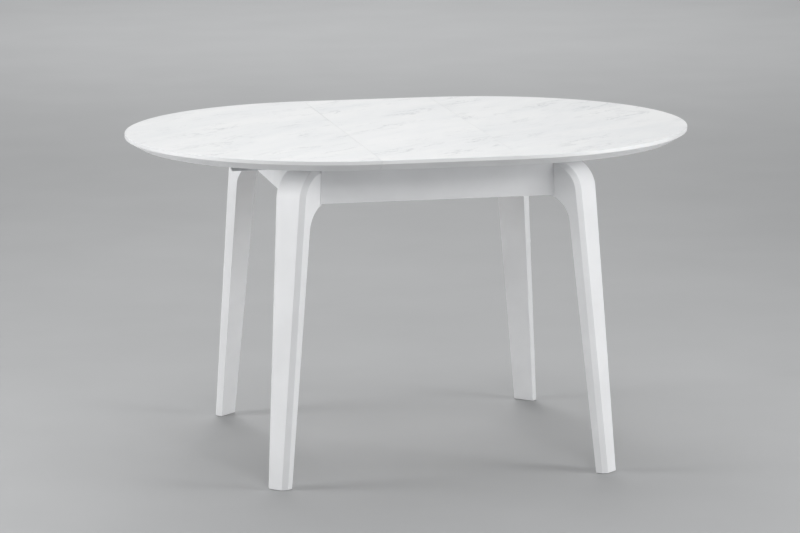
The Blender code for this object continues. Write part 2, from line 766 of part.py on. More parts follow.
clear_scene()
PARTS = new_collection("extending_round_table")
CUTTERS = new_collection("cutters")
MARBLE = finish("white_marble_laminate", (0.86, 0.87, 0.87), 0.35, 0.0)
LACQUER = finish("white_satin_lacquer", (0.82, 0.83, 0.85), 0.40, 0.0)
BEECH = finish("pale_beech", (0.62, 0.47, 0.31), 0.55, 0.0)
ALUMINIUM = finish("anodised_aluminium", (0.72, 0.73, 0.74), 0.35, 1.0)
ZINC = finish("zinc_plated_steel", (0.60, 0.61, 0.62), 0.35, 1.0)
NYLON = finish("black_nylon", (0.035, 0.035, 0.038), 0.45, 0.0)
FELT = finish("grey_felt", (0.22, 0.22, 0.23), 0.95, 0.0)
build_table()
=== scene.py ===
"""Round extending dining table: shapes, finishes, light and camera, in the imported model's frame."""

import json
from math import atan, cos, pi, radians, sin, tan

import bmesh
import bpy
from mathutils import Matrix, Vector


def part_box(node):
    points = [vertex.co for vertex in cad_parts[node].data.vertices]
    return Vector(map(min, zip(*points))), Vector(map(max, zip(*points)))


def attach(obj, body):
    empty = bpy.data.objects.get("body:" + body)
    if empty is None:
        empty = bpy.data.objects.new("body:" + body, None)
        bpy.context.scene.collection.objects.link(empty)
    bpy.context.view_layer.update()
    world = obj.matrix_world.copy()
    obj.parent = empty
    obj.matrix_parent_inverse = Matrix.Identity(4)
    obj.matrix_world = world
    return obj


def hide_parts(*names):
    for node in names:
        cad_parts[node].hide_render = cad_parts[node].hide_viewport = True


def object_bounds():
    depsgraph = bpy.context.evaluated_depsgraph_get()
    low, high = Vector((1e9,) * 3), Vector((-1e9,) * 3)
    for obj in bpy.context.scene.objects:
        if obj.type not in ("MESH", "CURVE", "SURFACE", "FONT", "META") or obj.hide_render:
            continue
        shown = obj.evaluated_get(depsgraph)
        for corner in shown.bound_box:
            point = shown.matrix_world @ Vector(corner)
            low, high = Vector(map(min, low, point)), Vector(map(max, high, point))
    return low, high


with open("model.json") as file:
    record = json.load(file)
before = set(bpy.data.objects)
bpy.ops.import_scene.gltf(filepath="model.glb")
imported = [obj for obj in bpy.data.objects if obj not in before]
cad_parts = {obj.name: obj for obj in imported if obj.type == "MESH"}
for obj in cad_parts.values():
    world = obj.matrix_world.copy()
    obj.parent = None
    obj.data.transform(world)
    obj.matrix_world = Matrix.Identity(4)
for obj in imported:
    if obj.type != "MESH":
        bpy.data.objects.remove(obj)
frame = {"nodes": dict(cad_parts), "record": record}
cad_low, cad_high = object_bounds()

# --- Sizes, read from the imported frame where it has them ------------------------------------
TABLE_HEIGHT = cad_high.z
TOP_RADIUS = cad_high.y
LEAF_LOW, LEAF_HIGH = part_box("top_leaf")
LEAF_HALF = LEAF_HIGH.x
TOP_UNDERSIDE = LEAF_LOW.z
SEAM_GAP = 0.0004
EDGE_BAND = 0.0085
UNDERCUT_INSET = 0.030
ARRIS = 0.0013
BAND_LOWER_ROUND = 0.0008
UNDERSIDE_ROUND = 0.0015
SEAM_BEVEL = 0.0003
ROUND_STEPS = 240

APRON_LOW, APRON_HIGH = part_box("apron_front")
APRON_BOTTOM = APRON_LOW.z
BASE_TOP = APRON_HIGH.z
FOOT_X = 0.388
FOOT_Y = 0.412
FOOT_CLEARANCE = 0.001
LEG_SPLAY = 0.0977
LEG_DEPTH_FOOT = 0.0264
LEG_DEPTH_GAIN = 0.0130
LEG_WIDTH_FOOT = 0.0540
LEG_WIDTH_GAIN = 0.0410
LEG_CHAMFER = 0.0102
SHOULDER_RADIUS = 0.070
FILLET_RADIUS = 0.062
ARM_REACH = 0.165
BLOCK_THICKNESS = 0.034
BLANK_MARGIN = 0.01
SHOULDER_STEPS = 18
FILLET_STEPS = 16
LEG_SOFT_EDGE = 0.0008
APRON_SOFT_EDGE = 0.0011
RECESS_RADIUS = 0.0093
RECESS_HEIGHT = 0.0035
FIT_GAP = 0.0003
SAME_PLACE = 1e-5

BOLT_LENGTH = 0.078
BOLT_RADIUS = 0.004
WASHER_RADIUS = 0.0085
WASHER_THICKNESS = 0.0016
HEX_RADIUS = 0.0072
HEX_LOW, HEX_HIGH = 0.0010, 0.0070
SCREW_LENGTH = 0.0147
SCREW_HEAD_RADIUS = 0.0036
SCREW_HEAD_HEIGHT = 0.0024
CROSS_LENGTH, CROSS_WIDTH, CROSS_DEPTH = 0.0040, 0.0010, 0.0011

CORNERS = {
    "front_left": (-1, -1),
    "front_right": (1, -1),
    "back_left": (-1, 1),
    "back_right": (1, 1),
}
SIDES = {"left": -1, "right": 1}
TABLE_MIDDLE = (0, 0, 0.5)
FLOOR_SIZE = 60
WORLD_BRIGHTNESS = 0.15
LENS_LENGTH = 173.2
SENSOR_WIDTH = 36
VIEW_DISTANCE = 100
CAMERA_PLACE = (-1.7510, -8.6897, 2.0106)
TURNED_RIGHT, TILTED_DOWN, ROLLED = 0.1968, 0.1775, -0.0073
SHARP_CORNER = radians(50)
LANES = ("front", "back")


# --- Material building ------------------------------------------------------------------------
class Finish:
    """A material with its shader, to which pattern nodes are added one by one."""

    def __init__(self, name, color, roughness, metallic=0.0):
        self.material = bpy.data.materials.new(name)
        self.material.use_nodes = True
        self.tree = self.material.node_tree
        self.shader = self.tree.nodes["Principled BSDF"]
        self.shader.inputs["Base Color"].default_value = (*color, 1)
        self.shader.inputs["Roughness"].default_value = roughness
        self.shader.inputs["Metallic"].default_value = metallic

    def add(self, kind, **settings):
        node = self.tree.nodes.new(kind)
        for key, value in settings.items():
            if hasattr(node, key):
                setattr(node, key, value)
            else:
                node.inputs[key.replace("_", " ")].default_value = value
        return node

    def join(self, source, target):
        self.tree.links.new(source, target)

    def place(self, scale=(1, 1, 1), turn=0.0, shift=(0, 0, 0)):
        """Object coordinates, stretched, turned about Z and moved."""
        coordinates = self.add("ShaderNodeTexCoord")
        mapping = self.add("ShaderNodeMapping")
        mapping.inputs["Scale"].default_value = scale
        mapping.inputs["Rotation"].default_value = (0, 0, turn)
        mapping.inputs["Location"].default_value = shift
        self.join(coordinates.outputs["Object"], mapping.inputs["Vector"])
        return mapping.outputs["Vector"]

    def noise(self, vector, scale, detail=4.0, roughness=0.5, distortion=0.0):
        node = self.add(
            "ShaderNodeTexNoise", Scale=scale, Detail=detail, Roughness=roughness,
            Distortion=distortion,
        )
        self.join(vector, node.inputs["Vector"])
        return node.outputs["Fac"]

    def ramp(self, value, stops):
        node = self.add("ShaderNodeValToRGB")
        elements = node.color_ramp.elements
        while len(elements) < len(stops):
            elements.new(0.5)
        for element, (position, color) in zip(elements, stops):
            element.position = position
            element.color = (*color, 1) if len(color) == 3 else (color[0],) * 3 + (1,)
        self.join(value, node.inputs["Fac"])
        return node.outputs["Color"]

    def range(self, value, low, high, start=0.0, end=1.0):
        node = self.add("ShaderNodeMapRange")
        node.inputs["From Min"].default_value = start
        node.inputs["From Max"].default_value = end
        node.inputs["To Min"].default_value = low
        node.inputs["To Max"].default_value = high
        self.join(value, node.inputs["Value"])
        return node.outputs["Result"]

    def math(self, operation, first, second):
        node = self.add("ShaderNodeMath", operation=operation)
        for socket, value in zip(node.inputs, (first, second)):
            if isinstance(value, (int, float)):
                socket.default_value = value
            else:
                self.join(value, socket)
        return node.outputs["Value"]

    def mix(self, factor, first, second):
        node = self.add("ShaderNodeMix", data_type="RGBA")
        for socket, value in ((node.inputs[0], factor), (node.inputs[6], first),
                              (node.inputs[7], second)):
            if isinstance(value, (int, float)):
                socket.default_value = value
            elif isinstance(value, tuple):
                socket.default_value = (*value, 1)
            else:
                self.join(value, socket)
        return node.outputs[2]

    def bump(self, height, strength, distance):
        node = self.add("ShaderNodeBump", Strength=strength, Distance=distance)
        self.join(height, node.inputs["Height"])
        self.join(node.outputs["Normal"], self.shader.inputs["Normal"])

    def color(self, source):
        self.join(source, self.shader.inputs["Base Color"])

    def roughness(self, source):
        self.join(source, self.shader.inputs["Roughness"])


def marble_laminate(name, shift):
    """White marble: short thin grey veins over soft cloudy bands, all running on a diagonal."""
    look = Finish(name, (0.84, 0.85, 0.85), 0.34)
    flow = look.place(turn=radians(-40), shift=shift)
    drift = look.noise(look.place((2.2, 2.2, 2.2)), 1.6, 5, 0.55)
    bend = look.add("ShaderNodeVectorMath", operation="MULTIPLY_ADD")
    push = look.add("ShaderNodeCombineXYZ")
    look.join(look.range(drift, -0.10, 0.10), push.inputs["Y"])
    look.join(flow, bend.inputs[0])
    bend.inputs[1].default_value = (0.9, 3.0, 1.0)
    look.join(push.outputs["Vector"], bend.inputs[2])
    streak = bend.outputs["Vector"]

    thread = look.noise(streak, 7.5, 6, 0.62, 0.25)
    distance = look.math("ABSOLUTE", look.math("SUBTRACT", thread, 0.5), 0.0)
    vein = look.ramp(distance, [(0.0, (1,)), (0.010, (0.55,)), (0.034, (0,))])
    patch = look.ramp(look.noise(streak, 5.0, 3, 0.5), [(0.50, (0,)), (0.66, (1,))])
    thin = look.math("MULTIPLY", vein, patch)

    fine_thread = look.noise(streak, 19.0, 5, 0.6, 0.4)
    fine_distance = look.math("ABSOLUTE", look.math("SUBTRACT", fine_thread, 0.5), 0.0)
    fine = look.ramp(fine_distance, [(0.0, (1,)), (0.03, (0,))])
    fine_patch = look.ramp(look.noise(streak, 9.0, 2, 0.5), [(0.54, (0,)), (0.70, (1,))])
    faint = look.math("MULTIPLY", fine, fine_patch)

    cloud = look.noise(streak, 3.2, 6, 0.6, 0.3)
    base = look.ramp(cloud, [(0.30, (0.80, 0.815, 0.825)), (0.62, (0.88, 0.885, 0.885))])
    veined = look.mix(look.math("MULTIPLY", thin, 0.62), base, (0.40, 0.42, 0.44))
    look.color(look.mix(look.math("MULTIPLY", faint, 0.34), veined, (0.46, 0.48, 0.50)))
    look.roughness(look.range(look.noise(flow, 60, 3), 0.30, 0.38))
    look.bump(look.noise(flow, 900, 2), 0.06, 0.0002)
    return look.material


def satin_lacquer(name, color):
    """White satin paint with a faint orange-peel and slightly uneven gloss."""
    look = Finish(name, color, 0.42)
    surface = look.place()
    shade = look.noise(surface, 9, 4)
    lighter = tuple(min(part * 1.03, 1) for part in color)
    darker = tuple(part * 0.975 for part in color)
    look.color(look.ramp(shade, [(0.35, darker), (0.65, lighter)]))
    look.roughness(look.range(look.noise(surface, 45, 4), 0.36, 0.48))
    look.bump(look.noise(surface, 700, 2, 0.4), 0.10, 0.0003)
    return look.material


def bare_wood(name, grain):
    """Pale hardwood with rays and grain along the given direction."""
    look = Finish(name, (0.62, 0.47, 0.31), 0.58)
    surface = look.place(grain)
    rings = look.noise(surface, 22, 6, 0.6, 0.8)
    pores = look.noise(surface, 130, 3, 0.7)
    tone = look.ramp(rings, [(0.30, (0.50, 0.35, 0.21)), (0.5, (0.63, 0.47, 0.30)),
                             (0.72, (0.72, 0.57, 0.39))])
    fleck = look.ramp(pores, [(0.58, (0,)), (0.72, (1,))])
    look.color(look.mix(look.math("MULTIPLY", fleck, 0.45), tone, (0.34, 0.22, 0.12)))
    look.roughness(look.range(rings, 0.5, 0.68))
    look.bump(pores, 0.25, 0.0004)
    return look.material


def anodised_aluminium():
    """Extruded section: fine die lines along its length and a satin skin."""
    look = Finish("anodised_aluminium", (0.72, 0.73, 0.74), 0.34, 1.0)
    along = look.place((3, 900, 900))
    lines = look.noise(along, 1.0, 3, 0.6)
    cloud = look.noise(look.place(), 30, 3)
    look.color(look.ramp(cloud, [(0.3, (0.66, 0.67, 0.69)), (0.7, (0.76, 0.77, 0.78))]))
    look.roughness(look.range(lines, 0.26, 0.46))
    look.bump(lines, 0.10, 0.0002)
    return look.material


def zinc_plate():
    """Bright zinc with blotches of passivation and fine rolling texture."""
    look = Finish("zinc_plated_steel", (0.62, 0.63, 0.64), 0.36, 1.0)
    surface = look.place()
    blotch = look.noise(surface, 140, 4, 0.6)
    look.color(look.ramp(blotch, [(0.3, (0.52, 0.54, 0.57)), (0.5, (0.64, 0.65, 0.66)),
                                  (0.72, (0.70, 0.68, 0.62))]))
    look.roughness(look.range(look.noise(surface, 420, 4), 0.26, 0.48))
    look.bump(look.noise(surface, 1500, 2), 0.12, 0.0002)
    return look.material


def black_nylon():
    """Moulded nylon: charcoal with a fine spark texture."""
    look = Finish("black_nylon", (0.04, 0.04, 0.043), 0.5)
    surface = look.place()
    look.color(look.ramp(look.noise(surface, 80, 3), [(0.3, (0.030, 0.030, 0.033)),
                                                     (0.7, (0.052, 0.052, 0.056))]))
    look.roughness(look.range(look.noise(surface, 300, 3), 0.40, 0.60))
    look.bump(look.noise(surface, 1800, 2), 0.3, 0.0002)
    return look.material


def pressed_felt():
    """Grey felt: matted short fibres."""
    look = Finish("grey_felt", (0.22, 0.22, 0.23), 0.95)
    surface = look.place()
    fibre = look.noise(surface, 1400, 5, 0.75, 1.5)
    look.color(look.ramp(fibre, [(0.35, (0.13, 0.13, 0.14)), (0.65, (0.32, 0.32, 0.33))]))
    look.bump(fibre, 0.8, 0.0006)
    look.shader.inputs["Sheen Weight"].default_value = 0.3
    return look.material


# --- Modelling helpers ------------------------------------------------------------------------
def deselect_all():
    if bpy.context.mode != "OBJECT":
        bpy.ops.object.mode_set(mode="OBJECT")
    bpy.ops.object.select_all(action="DESELECT")


def keep_only(piece):
    """Makes one object the selected and active one."""
    deselect_all()
    piece.select_set(True)
    bpy.context.view_layer.objects.active = piece


def block(name, low, high):
    """A cube primitive at its size and place, with the size applied to its mesh."""
    deselect_all()
    low, high = Vector(low), Vector(high)
    bpy.ops.mesh.primitive_cube_add(size=1, location=(low + high) / 2)
    piece = bpy.context.object
    piece.name = name
    piece.scale = high - low
    apply_place(piece)
    return piece


def disc(name, radius, low_z, high_z, centre=(0, 0), sides=48):
    """A cylinder primitive from one height to another."""
    deselect_all()
    bpy.ops.mesh.primitive_cylinder_add(
        vertices=sides, radius=radius, depth=high_z - low_z,
        location=(centre[0], centre[1], (low_z + high_z) / 2),
    )
    piece = bpy.context.object
    piece.name = name
    apply_place(piece)
    return piece


def apply_place(piece):
    keep_only(piece)
    bpy.ops.object.transform_apply(location=True, rotation=True, scale=True)


def edit(piece, kind="FACE"):
    """Opens the piece in edit mode with nothing selected."""
    keep_only(piece)
    bpy.ops.object.mode_set(mode="EDIT")
    bpy.ops.mesh.select_mode(type=kind)
    bpy.ops.mesh.select_all(action="DESELECT")


def done():
    bpy.ops.object.mode_set(mode="OBJECT")


def pick_faces(piece, test):
    """Selects the faces whose centre and normal pass the test."""
    bm = bmesh.from_edit_mesh(piece.data)
    for face in bm.faces:
        face.select = test(face.calc_center_median(), face.normal)
    bm.select_flush(True)
    bmesh.update_edit_mesh(piece.data)


def pick_edges(piece, test):
    """Selects the edges whose two ends pass the test."""
    bm = bmesh.from_edit_mesh(piece.data)
    for edge in bm.edges:
        edge.select = test(edge.verts[0].co, edge.verts[1].co)
    bm.select_flush(False)
    bmesh.update_edit_mesh(piece.data)


def pick_edges_between(piece, one_side, other_side):
    """Selects the edges that have a face of each kind on their two sides."""
    bm = bmesh.from_edit_mesh(piece.data)
    for edge in bm.edges:
        normals = [face.normal for face in edge.link_faces]
        edge.select = any(map(one_side, normals)) and any(map(other_side, normals))
    bm.select_flush(False)
    bmesh.update_edit_mesh(piece.data)


def trim(piece, point, normal):
    """Cuts off what lies on the normal's side of a plane and closes the cut."""
    edit(piece)
    bpy.ops.mesh.select_all(action="SELECT")
    bpy.ops.mesh.bisect(plane_co=point, plane_no=normal, use_fill=True, clear_outer=True)
    done()


def soften(piece, width, segments, angle=radians(28)):
    """Rounds every sharp edge by a small amount."""
    keep_only(piece)
    bevel = piece.modifiers.new("soft_edges", "BEVEL")
    bevel.width = width
    bevel.segments = segments
    bevel.limit_method = "ANGLE"
    bevel.angle_limit = angle
    bevel.miter_outer = "MITER_ARC"
    bpy.ops.object.modifier_apply(modifier="soft_edges")


def smooth(piece):
    """Shades the piece smooth, with each flat face keeping its own direction."""
    keep_only(piece)
    bpy.ops.object.shade_smooth_by_angle(angle=SHARP_CORNER)
    weighted = piece.modifiers.new("flat_faces", "WEIGHTED_NORMAL")
    weighted.mode = "FACE_AREA"
    weighted.weight = 100
    weighted.keep_sharp = True
    bpy.ops.object.modifier_apply(modifier="flat_faces")


def complete(piece, body, material, slot, *nodes):
    """Gives a finished piece its material and body and hides the nodes it stands for; the slot
    argument is not used.
    """
    if not piece.data.materials:
        piece.data.materials.append(material)
    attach(piece, body)
    if nodes:
        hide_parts(*nodes)


# --- Top --------------------------------------------------------------------------------------
def undercut_below(piece, inset_ends):
    """Drops the underside inside the edge band, so that the edge slopes in beneath it."""
    band_low = TABLE_HEIGHT - EDGE_BAND
    edit(piece)
    pick_faces(piece, lambda centre, normal: normal.z < -0.9)
    if inset_ends:
        bpy.ops.mesh.inset(thickness=UNDERCUT_INSET)
        bpy.ops.transform.translate(value=(0, 0, TOP_UNDERSIDE - band_low))
    else:
        bpy.ops.mesh.extrude_region_move(
            TRANSFORM_OT_translate={"value": (0, 0, TOP_UNDERSIDE - band_low)}
        )
        across = (TOP_RADIUS - UNDERCUT_INSET) / TOP_RADIUS
        bpy.ops.transform.resize(value=(1, across, 1))
    done()


def round_slab_edges(piece, on_rim):
    """Softens the arris round the top face and the lower edge of the band."""
    for height, width, segments in (
        (TABLE_HEIGHT, ARRIS, 4), (TABLE_HEIGHT - EDGE_BAND, BAND_LOWER_ROUND, 3),
        (TOP_UNDERSIDE, UNDERSIDE_ROUND, 3),
    ):
        edit(piece, "EDGE")
        pick_edges(piece, lambda a, b: on_rim(a, b) and abs(a.z - height) < SAME_PLACE
                   and abs(b.z - height) < SAME_PLACE)
        bpy.ops.mesh.bevel(offset=width, segments=segments, affect="EDGES")
        done()


def ease_seam(piece, seam_x):
    """A hairline bevel along the top of the joint, as a cut and lipped board has."""
    edit(piece, "EDGE")
    pick_edges(piece, lambda a, b: all(
        abs(end.x - seam_x) < SAME_PLACE and end.z > TABLE_HEIGHT - SAME_PLACE
        for end in (a, b)))
    bpy.ops.mesh.bevel(offset=SEAM_BEVEL, segments=2, affect="EDGES")
    done()


def face_and_edge(piece, marble, edge_paint):
    """Marble on the top face, paint on the edge band, the undercut and the underside."""
    piece.data.materials.append(marble)
    piece.data.materials.append(edge_paint)
    for face in piece.data.polygons:
        face.material_index = 0 if face.normal.z > 0.95 else 1


def make_half(side_name, side, marble, edge_paint):
    """A full disc cut along the seam, so that its rim runs true into the leaf."""
    centre_x = side * (LEAF_HALF + SEAM_GAP)
    piece = disc(
        f"marble_half_{side_name}", TOP_RADIUS - SEAM_GAP, TABLE_HEIGHT - EDGE_BAND,
        TABLE_HEIGHT, (centre_x, 0), ROUND_STEPS,
    )
    undercut_below(piece, True)
    round_slab_edges(piece, lambda a, b: True)
    trim(piece, (centre_x, 0, 0), (-side, 0, 0))
    ease_seam(piece, centre_x)
    smooth(piece)
    face_and_edge(piece, marble, edge_paint)
    complete(piece, f"half_{side_name}", marble, "white_marble_laminate",
             f"top_half_{side_name}")


def make_leaf(marble, edge_paint):
    piece = block(
        "marble_leaf", (-LEAF_HALF, -TOP_RADIUS, TABLE_HEIGHT - EDGE_BAND),
        (LEAF_HALF, TOP_RADIUS, TABLE_HEIGHT),
    )
    undercut_below(piece, False)
    round_slab_edges(piece, lambda a, b: abs(a.y - b.y) < SAME_PLACE)
    for seam_x in (-LEAF_HALF, LEAF_HALF):
        ease_seam(piece, seam_x)
    smooth(piece)
    face_and_edge(piece, marble, edge_paint)
    complete(piece, "leaf", marble, "white_marble_laminate", "top_leaf")


# --- Legs -------------------------------------------------------------------------------------
def outer_line(height):
    return -LEG_SPLAY * height


def inner_line(height):
    return outer_line(height) - LEG_DEPTH_FOOT - LEG_DEPTH_GAIN * height


def half_width(height):
    return (LEG_WIDTH_FOOT + LEG_WIDTH_GAIN * height) / 2


def knee_blank():
    """An arm with a plank drawn down from its end, seen from the side: a square-cut knee."""
    wide = half_width(BASE_TOP) + BLANK_MARGIN
    piece = block(
        "leg", (-ARM_REACH, -wide, APRON_BOTTOM), (outer_line(BASE_TOP), wide, BASE_TOP)
    )
    edit(piece, "EDGE")
    end_x = outer_line(BASE_TOP)
    pick_edges(piece, lambda a, b: all(
        abs(end.x - end_x) < SAME_PLACE and end.z < APRON_BOTTOM + SAME_PLACE
        for end in (a, b)))
    bpy.ops.transform.translate(value=(outer_line(APRON_BOTTOM) - end_x, 0, 0))
    bpy.ops.mesh.select_mode(type="FACE")
    pick_faces(piece, lambda centre, normal: normal.z < -0.9)
    bpy.ops.mesh.bisect(plane_co=(inner_line(APRON_BOTTOM), 0, 0), plane_no=(1, 0, 0))
    pick_faces(piece, lambda centre, normal: normal.z < -0.9
               and centre.x > inner_line(APRON_BOTTOM))
    drop = FOOT_CLEARANCE - APRON_BOTTOM
    top_middle = (outer_line(APRON_BOTTOM) + inner_line(APRON_BOTTOM)) / 2
    foot_middle = (outer_line(FOOT_CLEARANCE) + inner_line(FOOT_CLEARANCE)) / 2
    thinner = (outer_line(FOOT_CLEARANCE) - inner_line(FOOT_CLEARANCE)) / (
        outer_line(APRON_BOTTOM) - inner_line(APRON_BOTTOM)
    )
    bpy.ops.mesh.extrude_region_move(
        TRANSFORM_OT_translate={"value": (foot_middle - top_middle, 0, drop)}
    )
    bpy.ops.transform.resize(value=(thinner, 1, 1))
    done()
    return piece


def bend_knee(piece):
    """Rounds the shoulder outside and the fillet inside, each to its own radius."""
    lean_out = atan(LEG_SPLAY)
    lean_in = atan(LEG_SPLAY + LEG_DEPTH_GAIN)
    corners = (
        (outer_line(BASE_TOP), BASE_TOP,
         SHOULDER_RADIUS * tan((pi / 2 - lean_out) / 2), SHOULDER_STEPS),
        (inner_line(APRON_BOTTOM), APRON_BOTTOM,
         FILLET_RADIUS * tan((pi / 2 - lean_in) / 2), FILLET_STEPS),
    )
    for x, z, offset, segments in corners:
        edit(piece, "EDGE")
        pick_edges(piece, lambda a, b: all(
            abs(end.x - x) < 1e-4 and abs(end.z - z) < 1e-4 for end in (a, b)))
        bpy.ops.mesh.bevel(offset=offset, segments=segments, affect="EDGES")
        done()


def cut_cheeks(piece):
    """Tapers both side faces towards the foot."""
    for side in (-1, 1):
        trim(piece, (0, side * half_width(0), 0), (0, side, -LEG_WIDTH_GAIN / 2))


def chamfer_outer_corners(piece):
    """Takes off the two long corners on the outer side, from the foot over the shoulder."""
    edit(piece, "EDGE")
    pick_edges_between(
        piece, lambda normal: abs(normal.y) > 0.9,
        lambda normal: abs(normal.y) < 0.5 and (normal.x > 0.05 or normal.z > 0.05),
    )
    bpy.ops.mesh.bevel(offset=LEG_CHAMFER, segments=1, affect="EDGES")
    done()


def subtract(piece, tool):
    """Cuts the tool's shape out of the piece and throws the tool away."""
    keep_only(piece)
    hole = piece.modifiers.new("hole", "BOOLEAN")
    hole.operation = "DIFFERENCE"
    hole.solver = "EXACT"
    hole.object = tool
    bpy.ops.object.modifier_apply(modifier="hole")
    bpy.data.objects.remove(tool)


def make_legs(lacquer):
    """One leg, then three copies, each turned to its own corner."""
    pattern = knee_blank()
    bend_knee(pattern)
    cut_cheeks(pattern)
    chamfer_outer_corners(pattern)
    soften(pattern, LEG_SOFT_EDGE, 3, radians(18))
    foot_middle = (outer_line(0) + inner_line(0)) / 2
    recess = disc(
        "recess", RECESS_RADIUS, -BLANK_MARGIN, RECESS_HEIGHT, (foot_middle, 0)
    )
    subtract(pattern, recess)
    for name, (sign_x, sign_y) in CORNERS.items():
        leg = pattern.copy()
        leg.data = pattern.data.copy()
        bpy.context.scene.collection.objects.link(leg)
        leg.name = f"painted_leg_{name}"
        leg.rotation_euler.z = Vector((1, 0)).angle_signed(Vector((sign_x, -sign_y)))
        leg.location = (sign_x * FOOT_X, sign_y * FOOT_Y, 0)
        apply_place(leg)
        smooth(leg)
        complete(leg, "base", lacquer, "white_satin_lacquer", f"leg_{name}")
    bpy.data.objects.remove(pattern)


# --- Aprons -----------------------------------------------------------------------------------
def cheek_plane(sign_x, sign_y, along_x):
    """Point on a leg's side face, and its outward normal, a hair's gap away from it."""
    sideways = Vector((-sign_x, sign_y, 0)) if along_x else Vector((sign_x, -sign_y, 0))
    sideways.normalize()
    normal = (sideways - Vector((0, 0, LEG_WIDTH_GAIN / 2))).normalized()
    foot = Vector((sign_x * FOOT_X, sign_y * FOOT_Y, 0))
    return foot + sideways * half_width(0) + normal * FIT_GAP, normal


def make_apron(name, along_x, sign, lacquer):
    """A board trimmed to the legs' side faces, notched for the runners at the table's ends."""
    low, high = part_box(f"apron_{name}")
    piece = block(f"painted_apron_{name}", low, high)
    for other in (-1, 1):
        sign_x, sign_y = (other, sign) if along_x else (sign, other)
        point, normal = cheek_plane(sign_x, sign_y, along_x)
        trim(piece, point, -normal)
    if not along_x:
        for lane in LANES:
            notch(piece, *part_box(f"track_{name}_{lane}"))
    soften(piece, APRON_SOFT_EDGE, 3)
    smooth(piece)
    complete(piece, "base", lacquer, "white_satin_lacquer", f"apron_{name}")


def notch(piece, track_low, track_high):
    """An open-topped slot as wide as the track that lines up with it."""
    low, high = piece.bound_box[0], piece.bound_box[6]
    tool = block(
        "notch", (low[0] - BLANK_MARGIN, track_low.y, track_low.z - FIT_GAP),
        (high[0] + BLANK_MARGIN, track_high.y, BASE_TOP + BLANK_MARGIN),
    )
    subtract(piece, tool)


# --- Hidden hardware --------------------------------------------------------------------------
# How far each kind of piece has its sharp edges taken off, in metres.
EASED_EDGES = {
    "corner_block": 0.0016,
    "cross_rail": 0.0016,
    "leaf_locator": 0.0014,
    "foot_glide": 0.0006,
    "track_screw": 0.0002,
    "track": 0.0003,
    "runner": 0.0003,
    "gear_tray": 0.0004,
    "pinion_axle": 0.0004,
    "pinion": 0.00012,
    "rack": 0.00012,
    "support_plate": 0.0005,
}


def eased_width(name):
    """The width for this kind of piece: the longest kind name that its name starts with."""
    kinds = [kind for kind in EASED_EDGES if name.startswith(kind)]
    return EASED_EDGES[max(kinds, key=len)]


def ease_edges(name, node, body, material, slot):
    """A copy of a node with its triangles merged into faces and every sharp edge taken off."""
    piece = node.copy()
    piece.data = node.data.copy()
    bpy.context.scene.collection.objects.link(piece)
    piece.parent = None
    piece.matrix_world = Matrix.Identity(4)
    piece.name = f"finished_{name}"
    piece.hide_render = False
    edit(piece)
    bpy.ops.mesh.select_all(action="SELECT")
    bpy.ops.mesh.remove_doubles(threshold=SAME_PLACE)
    bpy.ops.mesh.dissolve_limited(angle_limit=radians(1))
    done()
    soften(piece, eased_width(name), 2, radians(32))
    smooth(piece)
    piece.data.materials.clear()
    complete(piece, body, material, slot, name)


def join_pieces(name, pieces):
    deselect_all()
    for piece in pieces:
        piece.select_set(True)
    bpy.context.view_layer.objects.active = pieces[0]
    bpy.ops.object.join()
    pieces[0].name = name
    return pieces[0]


def flange_bolt(length):
    """A hex bolt with a washer face, head up, its washer's underside at height zero."""
    washer = disc("washer", WASHER_RADIUS, 0.0, WASHER_THICKNESS)
    soften(washer, 0.0005, 3)
    head = disc("head", HEX_RADIUS, HEX_LOW, HEX_HIGH, sides=6)
    edit(head)
    pick_faces(head, lambda centre, normal: normal.z > 0.9)
    bpy.ops.mesh.bevel(offset=0.0009, segments=2, affect="EDGES")
    pick_faces(head, lambda centre, normal: normal.z > 0.9)
    bpy.ops.mesh.inset(thickness=0.0018)
    bpy.ops.mesh.inset(thickness=0.0003, depth=-0.0004)
    done()
    shank = disc("shank", BOLT_RADIUS, 0.0004 - length, 0.0006, sides=32)
    edit(shank)
    pick_faces(shank, lambda centre, normal: normal.z < -0.9)
    bpy.ops.mesh.bevel(offset=0.0007, segments=1, affect="EDGES")
    done()
    return join_pieces("bolt", [washer, head, shank])


def make_corner_bolts(zinc):
    """Two bolts a corner, each pointing out along its leg's arm."""
    pattern = flange_bolt(BOLT_LENGTH)
    block_inner = -ARM_REACH - BLOCK_THICKNESS - 2.5 * FIT_GAP
    for name, (sign_x, sign_y) in CORNERS.items():
        outward = Vector((sign_x, sign_y, 0)).normalized()
        for level in ("lower", "upper"):
            node = f"corner_bolt_{level}_{name}"
            low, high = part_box(node)
            bolt = pattern.copy()
            bolt.data = pattern.data.copy()
            bpy.context.scene.collection.objects.link(bolt)
            bolt.name = f"finished_{node}"
            bolt.rotation_euler = (-outward).to_track_quat("Z", "Y").to_euler()
            foot = Vector((sign_x * FOOT_X, sign_y * FOOT_Y, (low.z + high.z) / 2))
            bolt.location = foot + outward * block_inner
            apply_place(bolt)
            smooth(bolt)
            complete(bolt, "base", zinc, "zinc_plated_steel", node)
    bpy.data.objects.remove(pattern)


